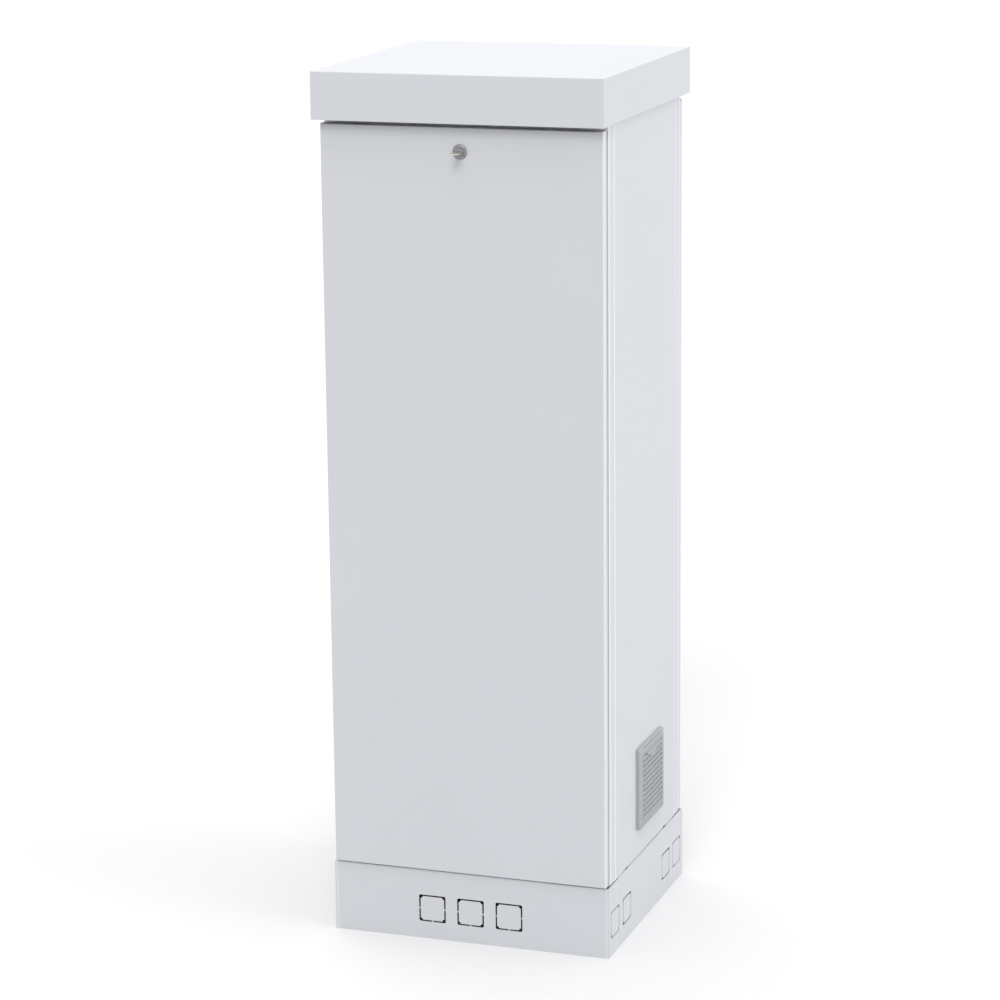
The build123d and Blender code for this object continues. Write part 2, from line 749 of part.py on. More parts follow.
# Door hooks: plates welded inside the door, each with a fork that drops over its pivot pin
hook_plate_face = -door_inside_y + hook_plate_sheet
hook_middle = pivot_height + hook_round / 2 - hook_plate_height / 2
for side_name, side in sides.items():
    with BuildPart() as door_hook:
        with BuildSketch(front_plane(hook_plate_face)):
            with Locations((side * pivot_place, hook_middle)):
                Rectangle(hook_plate_width, hook_plate_height)
        extrude(amount=hook_plate_sheet)
        with BuildSketch(side_plane(side * pivot_place - hook_width / 2)):
            with Locations(((hook_plate_face - pivot_y + hook_round / 2) / 2, hook_middle)):
                Rectangle(-pivot_y + hook_round / 2 - hook_plate_face, hook_plate_height)
            with Locations((-pivot_y, pivot_height)):
                Circle(pivot_pin / 2 + pivot_play, mode=Mode.SUBTRACT)
            with Locations((-pivot_y, pivot_height - hook_round / 2)):
                Rectangle(pivot_pin + 2 * pivot_play, hook_round, mode=Mode.SUBTRACT)
        extrude(amount=hook_width)
    save(door_hook.part, f"door_hook_{side_name}")

# Lock body: flange outside the door and a barrel through it, bored for the plug
lock_front_y = -door_face_y - lock_flange_depth
with BuildPart() as lock_body:
    with BuildSketch(front_plane(-door_face_y)):
        with Locations((0, lock_height)):
            Circle(lock_flange / 2)
    extrude(amount=lock_flange_depth)
    with BuildSketch(front_plane(-door_face_y)):
        with Locations((0, lock_height)):
            Circle(lock_barrel / 2)
    extrude(amount=-lock_barrel_length)
    with BuildSketch(front_plane(lock_front_y)):
        with Locations((0, lock_height)):
            Circle(plug_bore / 2)
    extrude(amount=-(lock_flange_depth + lock_barrel_length), mode=Mode.SUBTRACT)
save(lock_body.part, "lock_body")

with BuildPart() as lock_nut:
    with BuildSketch(front_plane(-door_inside_y)):
        with Locations((0, lock_height)):
            RegularPolygon(radius=lock_nut_flats / 2, side_count=6, major_radius=False)
            Circle(lock_barrel / 2 + lock_hole_play, mode=Mode.SUBTRACT)
    extrude(amount=-lock_nut_depth)
save(lock_nut.part, "lock_nut")

# Lock plug: face with the keyway, shaft through the barrel, square end that the cam is riveted on
plug_front_y = lock_front_y - plug_play - plug_face_depth
cam_front_y = -door_face_y + lock_barrel_length + plug_play
with BuildPart() as lock_plug:
    with BuildSketch(front_plane(plug_front_y)):
        with Locations((0, lock_height)):
            Circle(plug_face / 2)
    extrude(amount=-plug_face_depth)
    with BuildSketch(front_plane(plug_front_y)):
        with Locations((0, lock_height)):
            Circle(plug_bore / 2 - plug_play)
    extrude(amount=-(cam_front_y - plug_front_y))
    with BuildSketch(front_plane(cam_front_y)):
        with Locations((0, lock_height)):
            Rectangle(plug_square, plug_square)
    extrude(amount=-(cam_sheet + rivet_proud))
    with BuildSketch(front_plane(plug_front_y)):
        with Locations((0, lock_height)):
            Rectangle(keyway_width, keyway_height)
    extrude(amount=-keyway_depth, mode=Mode.SUBTRACT)
save(lock_plug.part, "lock_plug")

# Key, pushed home in the plug with its bow level
bow_y = plug_front_y - key_neck - key_bow_length / 2
blade_length = keyway_depth + key_neck
blade_y = plug_front_y + keyway_depth - blade_length / 2
with BuildPart() as key:
    with BuildSketch(Plane.XY.offset(lock_height - keyway_height / 2)):
        with Locations((0, blade_y)):
            Rectangle(key_blade, blade_length)
        with Locations((0, bow_y)):
            RectangleRounded(key_bow_width, key_bow_length, key_bow_corner)
        with Locations((0, bow_y - key_bow_length / 4)):
            Circle(key_ring_hole / 2, mode=Mode.SUBTRACT)
    extrude(amount=key_sheet)
save(key.part, "key")

# Cam on the plug's square end: level while unlocked, it turns up behind the top frame
with BuildPart() as lock_cam:
    with BuildSketch(front_plane(cam_front_y)):
        with Locations((-cam_reach / 2 + cam_width / 4, lock_height)):
            Rectangle(cam_reach + cam_width / 2, cam_width)
        with Locations((0, lock_height)):
            Rectangle(plug_square, plug_square, mode=Mode.SUBTRACT)
    extrude(amount=-cam_sheet)
save(lock_cam.part, "lock_cam")


def filter_plane(out):
    """Plane over the filter's centre, out from the side panel's face, with Y across and Z up."""
    return Plane(origin=(panel_face_x + out, filter_y, filter_z), x_dir=(0, 1, 0), z_dir=(1, 0, 0))


# Filter frame: flange on the panel, sleeve through it, bars that hold the mat, lugs for the cover's hinge
sleeve_inside = filter_sleeve - 2 * filter_sleeve_wall
bar_pitch = sleeve_inside / (filter_bar_count + 1)
lug_places = (filter_y - hinge_place, filter_y + hinge_place)
hinge_pin_length = hinge_lug_gap + hinge_pin_grip
with BuildPart() as filter_frame:
    with BuildSketch(filter_plane(0)):
        Rectangle(filter_flange, filter_flange)
    extrude(amount=filter_flange_depth)
    with BuildSketch(filter_plane(0)):
        Rectangle(filter_sleeve, filter_sleeve)
    extrude(amount=-filter_sleeve_depth)
    with BuildSketch(filter_plane(filter_flange_depth)):
        Rectangle(sleeve_inside, sleeve_inside)
    extrude(amount=-(filter_flange_depth + filter_sleeve_depth), mode=Mode.SUBTRACT)
    with BuildSketch(filter_plane(-filter_sleeve_depth)):
        with GridLocations(bar_pitch, 0, filter_bar_count, 1):
            Rectangle(filter_bar, sleeve_inside)
    extrude(amount=filter_bar)
    neck_top = filter_z - filter_flange / 2
    for lug_y in lug_places:
        with Locations((hinge_x, lug_y, (hinge_z - hinge_lug / 2 + neck_top) / 2)):
            Box(hinge_lug, hinge_lug_width, neck_top - hinge_z + hinge_lug / 2)
        with Locations((panel_face_x + filter_flange_depth / 2, lug_y, neck_top)):
            Box(filter_flange_depth, hinge_lug_width, hinge_lug)
    with BuildSketch(
        front_plane(lug_places[0] - hinge_lug_width / 2),
        front_plane(lug_places[1] + hinge_lug_width / 2 + hinge_pin_length),
    ):
        with Locations((hinge_x, hinge_z)):
            Circle(hinge_pin / 2)
    extrude(amount=hinge_pin_length)
save(filter_frame.part, "filter_frame")

# Grille cover: bevelled moulding with level slats, latch plate at the top and a slotted hinge edge below
slat_pitch = louvre_field / slat_count
bevel_rise = cover_depth - cover_edge
bevel_angle = degrees(atan2(cover_bevel, bevel_rise))
pocket_rise = cover_depth - cover_edge - cover_wall / 2
cover_inside = cover_size - 2 * cover_wall
slot_width = hinge_lug_width + 2 * hinge_lug_gap
lug_corner = hypot(hinge_lug / 2, hinge_lug / 2)
slot_depth = hinge_out + lug_corner + cover_gap
pin_slot_depth = hinge_out + hinge_pin / 2 + hinge_play
pin_slot_height = hinge_pin + 2 * hinge_play
pin_slot_length = hinge_lug_width + 2 * (hinge_pin_length + hinge_lug_gap)
with BuildPart() as grille_cover:
    with BuildSketch(filter_plane(cover_gap)):
        Rectangle(cover_size, cover_size)
    extrude(amount=cover_edge - cover_gap)
    with BuildSketch(filter_plane(cover_edge)):
        Rectangle(cover_size, cover_size)
    extrude(amount=bevel_rise, taper=bevel_angle)
    with BuildSketch(filter_plane(cover_gap)):
        Rectangle(cover_inside, cover_inside)
    extrude(amount=cover_edge - cover_gap - cover_wall / 2, mode=Mode.SUBTRACT)
    with BuildSketch(filter_plane(cover_edge - cover_wall / 2)):
        Rectangle(cover_inside, cover_inside)
    extrude(amount=pocket_rise, taper=bevel_angle, mode=Mode.SUBTRACT)
    with BuildSketch(filter_plane(0)):
        Rectangle(louvre_field, louvre_field)
    extrude(amount=cover_depth + overrun, mode=Mode.SUBTRACT)
    with BuildSketch(front_plane(filter_y + louvre_field / 2)):
        for row in range(slat_count):
            slat_z = filter_z - louvre_field / 2 + (row + 1 / 2) * slat_pitch
            with Locations((panel_face_x + slat_centre, slat_z)):
                Rectangle(slat_length, slat_sheet, rotation=slat_angle)
    extrude(amount=louvre_field)
    latch_top = louvre_field / 2
    latch_low = latch_top - latch_height
    with BuildSketch(filter_plane(cover_depth + latch_proud)) as latch_outline:
        with BuildLine():
            Polyline(
                (-latch_width / 2, latch_top),
                (latch_width / 2, latch_top),
                (latch_foot / 2, latch_low),
                (-latch_foot / 2, latch_low),
                close=True,
            )
        make_face()
    extrude(amount=-latch_depth)
    extrude(latch_outline.sketch, amount=slat_length, mode=Mode.SUBTRACT)
    with BuildSketch(filter_plane(cover_depth)):
        with Locations((0, cover_size / 2 - cover_bevel / 2)):
            Rectangle(grip_length, grip_width)
    extrude(amount=-(bevel_rise / 2 + grip_depth), mode=Mode.SUBTRACT)
    with BuildSketch(front_plane(filter_y + cover_inside / 2)):
        with Locations((panel_face_x + (cover_edge + cover_gap) / 2, hinge_z)):
            Rectangle(cover_edge - cover_gap, 2 * hinge_round)
    extrude(amount=cover_inside)
    with BuildSketch(front_plane(filter_y + cover_size / 2 + overrun)):
        with BuildLine():
            Polyline(
                (panel_face_x, hinge_z),
                (panel_face_x + cover_gap, hinge_z),
                (hinge_x, hinge_z - hinge_round),
                (hinge_x, hinge_z - 2 * hinge_round),
                (panel_face_x, hinge_z - 2 * hinge_round),
                close=True,
            )
        make_face()
    extrude(amount=cover_size + 2 * overrun, mode=Mode.SUBTRACT)
    for lug_y in lug_places:
        with Locations((panel_face_x, lug_y, hinge_z)):
            Box(2 * slot_depth, slot_width, 2 * (hinge_round + overrun), mode=Mode.SUBTRACT)
            Box(2 * pin_slot_depth, pin_slot_length, pin_slot_height, mode=Mode.SUBTRACT)
save(grille_cover.part, "grille_cover")

# Filter mat, lying on the bars inside the sleeve
with BuildPart() as filter_mat:
    with BuildSketch(filter_plane(-filter_sleeve_depth + filter_bar + mat_play)):
        Rectangle(sleeve_inside - 2 * mat_play, sleeve_inside - 2 * mat_play)
    extrude(amount=mat_depth)
save(filter_mat.part, "filter_mat")
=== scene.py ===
import json
import math

import bpy
import numpy as np
from mathutils import Matrix, Vector


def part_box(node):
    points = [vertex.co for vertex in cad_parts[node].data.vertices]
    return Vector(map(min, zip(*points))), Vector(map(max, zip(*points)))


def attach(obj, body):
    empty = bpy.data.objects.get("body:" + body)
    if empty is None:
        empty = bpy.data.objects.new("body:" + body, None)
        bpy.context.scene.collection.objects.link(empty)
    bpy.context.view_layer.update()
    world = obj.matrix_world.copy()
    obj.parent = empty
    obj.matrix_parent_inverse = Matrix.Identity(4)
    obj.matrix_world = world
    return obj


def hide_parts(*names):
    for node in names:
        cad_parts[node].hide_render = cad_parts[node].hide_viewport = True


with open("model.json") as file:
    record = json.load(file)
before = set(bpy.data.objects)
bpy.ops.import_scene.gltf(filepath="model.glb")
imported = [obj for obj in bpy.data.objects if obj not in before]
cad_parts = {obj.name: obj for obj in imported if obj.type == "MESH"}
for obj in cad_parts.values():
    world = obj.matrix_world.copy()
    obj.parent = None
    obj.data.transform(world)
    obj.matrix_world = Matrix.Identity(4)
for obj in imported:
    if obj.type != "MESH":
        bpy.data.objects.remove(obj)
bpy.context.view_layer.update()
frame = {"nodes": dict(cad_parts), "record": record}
nodes = frame["nodes"]
scene = bpy.context.scene


# Places that the CAD solids give, in mm

MM = 0.001


def corners(node):
    """Lowest and highest corner of a CAD node at rest, in mm."""
    return np.array(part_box(node)) / MM


hood_low, hood_high = corners("hood")
door_low, door_high = corners("front_door")
cover_low, cover_high = corners("grille_cover")
lock_low, lock_high = corners("lock_body")
key_low, key_high = corners("key")

POST_HALF = corners("post_front_right")[1][0]
PANEL_HALF = corners("side_panel_right")[1][0]
PLINTH_TOP = corners("plinth_front")[1][2]
DOOR_FACE = door_low[1]
DOOR_BACK = -door_high[1]
PLUG_FACE = corners("lock_plug")[0][1]
LOCK_Z = (lock_low + lock_high)[2] / 2
KEY_Z = (key_low + key_high)[2] / 2


# New objects

def add_object(name, data):
    """New object in the scene, at the origin."""
    made = bpy.data.objects.new(name, data)
    scene.collection.objects.link(made)
    return made


# Shader maths

class Wire:
    """A shader socket that can stand in a sum: each operator adds one Math node."""

    def __init__(self, tree, socket):
        self.tree = tree
        self.socket = socket

    def __add__(self, other):
        return self.tree.math("ADD", self, other)

    def __sub__(self, other):
        return self.tree.math("SUBTRACT", self, other)

    def __rsub__(self, other):
        return self.tree.math("SUBTRACT", other, self)

    def __mul__(self, other):
        return self.tree.math("MULTIPLY", self, other)

    def __truediv__(self, other):
        return self.tree.math("DIVIDE", self, other)

    def __pow__(self, other):
        return self.tree.math("POWER", self, other)

    __radd__ = __add__
    __rmul__ = __mul__

    def clamped(self):
        """The value held between 0 and 1."""
        return self.tree.node("ShaderNodeClamp", inputs={"Value": self})


class NodeTree:
    """A tree of shader nodes: node() adds one, math() adds a sum, end() closes the tree."""

    def __init__(self, graph):
        self.graph = graph
        self.graph.nodes.clear()

    def node(self, kind, settings=None, inputs=None, out=0):
        """Wire from one output of a new node, whose settings come first and then its sockets."""
        made = self.graph.nodes.new(kind)
        for key, value in (settings or {}).items():
            setattr(made, key, value)
        for key, value in (inputs or {}).items():
            if isinstance(value, Wire):
                self.graph.links.new(value.socket, made.inputs[key])
            else:
                made.inputs[key].default_value = value
        return Wire(self, made.outputs[out])

    def math(self, operation, first, second=0.0):
        return self.node("ShaderNodeMath", {"operation": operation}, {0: first, 1: second})

    def end(self, kind, shader):
        """Output node that takes the whole shader."""
        ending = self.graph.nodes.new(kind)
        self.graph.links.new(shader.socket, ending.inputs["Surface"])


class Finish(NodeTree):
    """A material whose patterns read the piece's Object coordinates."""

    def __init__(self, name):
        self.material = bpy.data.materials.new(name)
        self.material.use_nodes = True
        super().__init__(self.material.node_tree)
        self.place = self.node("ShaderNodeTexCoord", out="Object")

    def axis(self, name):
        """Place along one axis, in metres."""
        return self.node("ShaderNodeSeparateXYZ", inputs={"Vector": self.place}, out=name)

    def scaled(self, sizes):
        """Place times a scale for each axis."""
        sockets = {"Vector": self.place, "Scale": sizes}
        return self.node("ShaderNodeMapping", {"vector_type": "POINT"}, sockets)

    def noise(self, scale=1.0, detail=2.0, vector=None):
        sockets = {"Vector": vector or self.place, "Scale": scale, "Detail": detail}
        return self.node("ShaderNodeTexNoise", inputs=sockets)

    def cells(self, scale, out):
        """Cells about scattered points: the distance to the nearest point, or a colour for each cell."""
        sockets = {"Vector": self.place, "Scale": scale}
        return self.node("ShaderNodeTexVoronoi", {"feature": "F1"}, sockets, out)

    def blend(self, amount, first, second):
        """Colour from first to second: a colour mix takes sockets 6 and 7 and gives output 2."""
        return self.node("ShaderNodeMix", {"data_type": "RGBA"}, {0: amount, 6: first, 7: second}, out=2)

    def bump(self, height, depth):
        return self.node("ShaderNodeBump", inputs={"Height": height, "Strength": 1.0, "Distance": depth})

    def surface(self, **sockets):
        """The finished material: each name is a socket of the shader, with _ for a space."""
        values = {key.replace("_", " "): value for key, value in sockets.items()}
        self.end("ShaderNodeOutputMaterial", self.node("ShaderNodeBsdfPrincipled", inputs=values))
        return self.material


def srgb(red, green, blue):
    """Linear colour of a shade written as it shows on a screen, 0 to 255."""
    shade = np.array([red, green, blue]) / 255.0
    line = np.where(shade <= 0.04045, shade / 12.92, ((shade + 0.055) / 1.055) ** 2.4)
    return (*line.tolist(), 1.0)


# Painted highlights and painted light in the paint

# Turned edges of the door and rear panel, posts and side panels, where a highlight is painted, by their
# distance from the middle in X and Y
TURNED_EDGES = ((door_high[0], 275.0), (POST_HALF, 249.2), (PANEL_HALF, 219.8))
EDGE_REACH = (2.6, 6.0)

# Spaces under the hood, made paler with painted light, by half width, half depth, foot and head: behind the
# door, and inside the hood's walls
PAINTED_LIGHT_SKIN = 0.6
PAINTED_LIGHT_SETBACK = 2.5
PAINTED_LIGHT_FADE = 0.2
PAINTED_LIGHT_HEAD = hood_high[2] - PAINTED_LIGHT_SKIN
HOOD_SPACES = (
    (POST_HALF - PAINTED_LIGHT_SKIN, DOOR_BACK - PAINTED_LIGHT_SETBACK, door_high[2] - PAINTED_LIGHT_SKIN, PAINTED_LIGHT_HEAD),
    (hood_high[0] - PAINTED_LIGHT_SKIN, hood_high[1] - PAINTED_LIGHT_SKIN, hood_low[2] + PAINTED_LIGHT_SKIN, PAINTED_LIGHT_HEAD),
)


def painted_edge_highlight(f):
    """Mask of the painted edge highlight: 1 on the turned edges, falling to 0 with the square of the distance
    from them.
    """
    across = f.math("ABSOLUTE", f.axis("X"))
    deep = f.math("ABSOLUTE", f.axis("Y"))
    near = 0.0
    for edge_x, edge_y in TURNED_EDGES:
        wide = (across - edge_x * MM) / (EDGE_REACH[0] * MM)
        back = (deep - edge_y * MM) / (EDGE_REACH[1] * MM)
        near = (1.0 - (wide * wide + back * back)).clamped() + near
    return near


def painted_light_under_hood(f):
    """Mask of painted light: 1 in the spaces under the hood, 0 outside them: the least distance to their
    sides, over the fade.
    """
    across = f.math("ABSOLUTE", f.axis("X"))
    deep = f.math("ABSOLUTE", f.axis("Y"))
    up = f.axis("Z")
    lightened = 0.0
    for half_width, half_depth, foot, head in HOOD_SPACES:
        level = f.math("MINIMUM", half_width * MM - across, half_depth * MM - deep)
        upright = f.math("MINIMUM", up - foot * MM, head * MM - up)
        inside = f.math("MINIMUM", level, upright) / (PAINTED_LIGHT_FADE * MM)
        lightened = f.math("MAXIMUM", lightened, inside.clamped())
    return lightened


# Finishes

def powder_coat():
    """Light grey baked powder, made near white in the spaces under the hood by painted light.

    It has a soft orange-peel skin, faint clouding, and a paler colour with less roughness on turned edges, as
    a painted highlight.
    """
    f = Finish("powder_coat")
    peel = f.noise(scale=420.0, detail=3.0)
    cloud = f.noise(scale=2.4, detail=3.0)
    speck = f.noise(scale=2600.0, detail=1.0)
    edge_highlight = painted_edge_highlight(f)
    shade = f.blend(cloud, srgb(202, 204, 209), srgb(207, 209, 214))
    # Painted highlight: a paler colour on the turned edges.
    shade = f.blend(edge_highlight, shade, srgb(220, 222, 227))
    # Painted light: a near-white colour in the spaces under the hood, where shade falls.
    shade = f.blend(painted_light_under_hood(f), shade, srgb(250, 250, 251))
    return f.surface(
        Base_Color=shade,
        Roughness=0.40 + 0.10 * cloud + 0.08 * speck - 0.08 * edge_highlight,
        Normal=f.bump(peel + 0.25 * speck, depth=0.06 * MM),
    )


def zinc_plate():
    """Dull zinc-coated sheet: small crystal patches, each with its own grey and gloss."""
    f = Finish("zinc_plate")
    patch = f.node("ShaderNodeSeparateColor", inputs={"Color": f.cells(scale=140.0, out="Color")})
    shade = f.blend(patch, srgb(134, 137, 141), srgb(160, 163, 166))
    return f.surface(Base_Color=shade, Metallic=0.8, Roughness=0.42 + 0.14 * patch)


def moulded_plastic():
    """Grey moulded plastic with a fine eroded texture."""
    f = Finish("moulded_plastic")
    grain = f.noise(scale=1500.0, detail=3.0)
    cloud = f.noise(scale=9.0)
    shade = f.blend(cloud, srgb(158, 160, 162), srgb(164, 166, 168))
    return f.surface(
        Base_Color=shade,
        Roughness=0.48 + 0.12 * grain,
        Normal=f.bump(grain, depth=0.05 * MM),
    )


def satin_nickel():
    """Turned nickel: fine rings round the lock's axis, a sine of the distance from it."""
    f = Finish("satin_nickel")
    across = f.axis("X")
    up = f.axis("Z") - LOCK_Z * MM
    radius = (across * across + up * up) ** 0.5
    rings = f.math("SINE", radius * (9.0 / MM))
    smear = f.noise(scale=300.0)
    shade = f.blend(smear, srgb(138, 138, 140), srgb(158, 158, 159))
    return f.surface(
        Base_Color=shade,
        Metallic=1.0,
        Roughness=0.30 + 0.12 * smear,
        Normal=f.bump(rings, depth=0.02 * MM),
    )


def key_steel():
    """Plated key blank, drawn along its length."""
    f = Finish("key_steel")
    grain = f.noise(vector=f.scaled((4200.0, 160.0, 900.0)))
    shade = f.blend(grain, srgb(206, 204, 194), srgb(228, 227, 219))
    return f.surface(
        Base_Color=shade,
        Metallic=1.0,
        Roughness=0.24 + 0.14 * grain,
        Normal=f.bump(grain, depth=0.02 * MM),
    )


def filter_felt():
    """White needled felt, its fibres longest in X."""
    f = Finish("filter_felt")
    fibre = f.noise(detail=4.0, vector=f.scaled((500.0, 1600.0, 700.0)))
    shade = f.blend(fibre, srgb(214, 214, 210), srgb(238, 238, 235))
    return f.surface(Base_Color=shade, Roughness=0.95, Normal=f.bump(fibre, depth=0.6 * MM))


def seal_foam():
    """Dark closed-cell foam."""
    f = Finish("seal_foam")
    cells = f.cells(scale=900.0, out="Distance")
    shade = f.blend(cells, srgb(44, 44, 46), srgb(66, 66, 69))
    return f.surface(Base_Color=shade, Roughness=0.9, Normal=f.bump(cells, depth=0.3 * MM))


def pale_floor():
    """Plain floor that the camera sees white and that throws a softer grey light back onto the object."""
    f = Finish("pale_floor")
    seen = f.node("ShaderNodeLightPath", out="Is Camera Ray")
    shade = f.blend(seen, srgb(199, 199, 199), srgb(222, 222, 222))
    return f.surface(Base_Color=shade, Roughness=0.9)


FINISHES = {
    "cabinet_paint": powder_coat(),
    "zinc_steel": zinc_plate(),
    "lock_metal": satin_nickel(),
    "key_metal": key_steel(),
    "grille_plastic": moulded_plastic(),
    "filter_felt": filter_felt(),
    "foam": seal_foam(),
}

for subpart in frame["record"]["subparts"]:
    solid = nodes[subpart["node"]]
    solid.data.materials.clear()
    solid.data.materials.append(FINISHES[subpart["material_slot"]])


# Forms: whole arrays of points in mm, closed by faces and joined into one mesh for each piece

CREASE = math.radians(35.0)


def grid_faces(rows, columns, wrap_rows=False, wrap_columns=False):
    """Quads over a grid of points, wrapped round in either direction where asked."""
    row, column = np.meshgrid(
        np.arange(rows if wrap_rows else rows - 1),
        np.arange(columns if wrap_columns else columns - 1),
        indexing="ij",
    )
    below = (row + 1) % rows
    beside = (column + 1) % columns
    first, second = row * columns + column, below * columns + column
    third, fourth = below * columns + beside, row * columns + beside
    return np.stack([first, second, third, fourth], axis=-1).reshape(-1, 4)


def facing_out(points, quads, caps=()):
    """A closed form whose faces are turned so that the volume they enclose about the centre is positive."""
    corner = (points - points.mean(axis=0))[quads]
    twice = np.cross(corner[:, 1], corner[:, 2]) + np.cross(corner[:, 2], corner[:, 3])
    if np.sum(corner[:, 0] * twice) < 0.0:
        quads = quads[:, ::-1]
        caps = [cap[::-1] for cap in caps]
    return points, quads, caps


def ring_form(points):
    """Closed form from a grid that wraps round both ways: a profile carried round a closed path."""
    rows, columns = points.shape[:2]
    return facing_out(points.reshape(-1, 3), grid_faces(rows, columns, True, True))


def bar_form(points):
    """Closed form from a profile carried along an open path, with a flat cap on each end."""
    rows, columns = points.shape[:2]
    first = np.arange(columns)
    last = first[::-1] + (rows - 1) * columns
    return facing_out(points.reshape(-1, 3), grid_faces(rows, columns, False, True), [first, last])


def plate_form(front, back):
    """Closed form between two grids of the same shape, with a wall round their border."""
    rows, columns = front.shape[:2]
    count = rows * columns
    index = np.arange(count).reshape(rows, columns)
    border = np.concatenate([index[0, :-1], index[:-1, -1], index[-1, :0:-1], index[:0:-1, 0]])
    onward = np.roll(border, -1)
    quads = grid_faces(rows, columns)
    wall = np.stack([border, onward, onward + count, border + count], axis=-1)
    points = np.concatenate([front.reshape(-1, 3), back.reshape(-1, 3)])
    return facing_out(points, np.concatenate([quads, quads[:, ::-1] + count, wall]))


def make_piece(name, body, slot, forms, node=None):
    """One mesh of closed forms that rides on a body, in the place of a CAD node if one is named.

    Edges that turn more than the crease stay sharp.
    """
    faces = []
    start = 0
    for points, quads, caps in forms:
        faces += (quads + start).tolist()
        faces += [(cap + start).tolist() for cap in caps]
        start += len(points)
    mesh = bpy.data.meshes.new(name)
    mesh.from_pydata((np.concatenate([form[0] for form in forms]) * MM).tolist(), [], faces)
    mesh.polygons.foreach_set("use_smooth", np.ones(len(mesh.polygons), dtype=bool))
    mesh.set_sharp_from_angle(angle=CREASE)
    mesh.materials.append(FINISHES[slot])
    piece = add_object(name, mesh)
    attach(piece, body)
    if node:
        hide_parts(node)


def unit(way):
    """The same way with a length of 1."""
    return way / np.linalg.norm(way)


def rounded_corner(before, corner, after, reach, steps):
    """Arc that is tangent to both lines of a corner, at the same reach from it along each.

    Its centre lies on the corner's bisector, and its radius is the reach times the tangent of half the angle.
    """
    back = unit(np.subtract(before, corner))
    onward = unit(np.subtract(after, corner))
    inward = unit(back + onward)
    sideways = unit(onward - back)
    half = math.acos(back @ inward)
    turn = np.linspace(half - np.pi / 2, np.pi / 2 - half, steps)[:, None]
    centre = corner + inward * reach / math.cos(half)
    return centre + reach * math.tan(half) * (sideways * np.sin(turn) - inward * np.cos(turn))


# Filter grille: bevelled moulding, slats, latch plate and hinge bars

FILTER_Y, FILTER_Z = (cover_low + cover_high)[1:] / 2
COVER_HALF = (cover_high - cover_low)[1] / 2
COVER_CORNER = 2.0
COVER_WALL = 1.1
COVER_GAP = 0.3
COVER_EDGE = 8.0
COVER_TOP = 11.2
SHOULDER_ROUND = 0.85
BEVEL_WIDTH = 8.0
CREST_ROUND = 1.0
RIM_WIDTH = 18.0
LIP_FOOT = 4.3
LIP_ROUND = 0.8
FIELD_HALF = COVER_HALF - RIM_WIDTH
GRIP_HALF = 64.0
GRIP_END = 1.5
GRIP_INSET = 4.0
GRIP_WIDTH = 3.0
GRIP_SLOPE = 0.4
GRIP_DEPTH = 2.0
HINGE_UP = 3.6
HINGE_OUT = 4.0
SLAT_COUNT = 13
SLAT_PITCH = 2 * FIELD_HALF / SLAT_COUNT
SLAT_ROOT = np.array([5.3, 3.45])
SLAT_NOSE = np.array([11.5, -2.75])
SLAT_ROOT_ROUND = 0.9
SLAT_NOSE_ROUND = 1.5
SLAT_LAP = 0.6
SLAT_STUB = 31.0
LATCH_LOW = 54.0
LATCH_FOOT = 14.0
LATCH_HALF = 50.0
LATCH_LAP = 0.5
LATCH_OUT = 12.6
LATCH_BACK = 9.0
LATCH_ROUND = 1.3
BAR_BACK = 0.4
BAR_FRONT = 5.9
BAR_FOOT = 0.5
BAR_HEAD = 7.2
BAR_HEEL = 3.7
BAR_TOE = 4.1
BAR_GAP = 1.0
SLOT_FOOT = 2.2
SLOT_HEAD = 5.0
SLOT_END = 5.4
SLOT_TOE = 1.84
ARM_PLACE = 60.0
ARM_HALF = 4.2


def over_filter(out, across, up):
    """Points by their distance out of the side panel and their place over the filter's centre."""
    return np.stack(np.broadcast_arrays(PANEL_HALF + out, FILTER_Y + across, FILTER_Z + up), axis=-1)


def square_way(side_steps, corner_steps):
    """Way round a square with rounded corners.

    Each step gives the share of the half side in Y and that in Z, and the angle at which the corner's arc
    points out.
    """
    turn = np.linspace(0.0, np.pi / 2, corner_steps)[1:-1]
    across = np.ones(side_steps + len(turn))
    up = np.concatenate([np.linspace(-1.0, 1.0, side_steps), np.ones(len(turn))])
    angle = np.concatenate([np.zeros(side_steps), turn])
    quarter = np.arange(4)[:, None] * np.pi / 2
    shares_y = np.cos(quarter) * across - np.sin(quarter) * up
    shares_z = np.sin(quarter) * across + np.cos(quarter) * up
    return shares_y.reshape(-1, 1), shares_z.reshape(-1, 1), (quarter + angle).reshape(-1, 1)


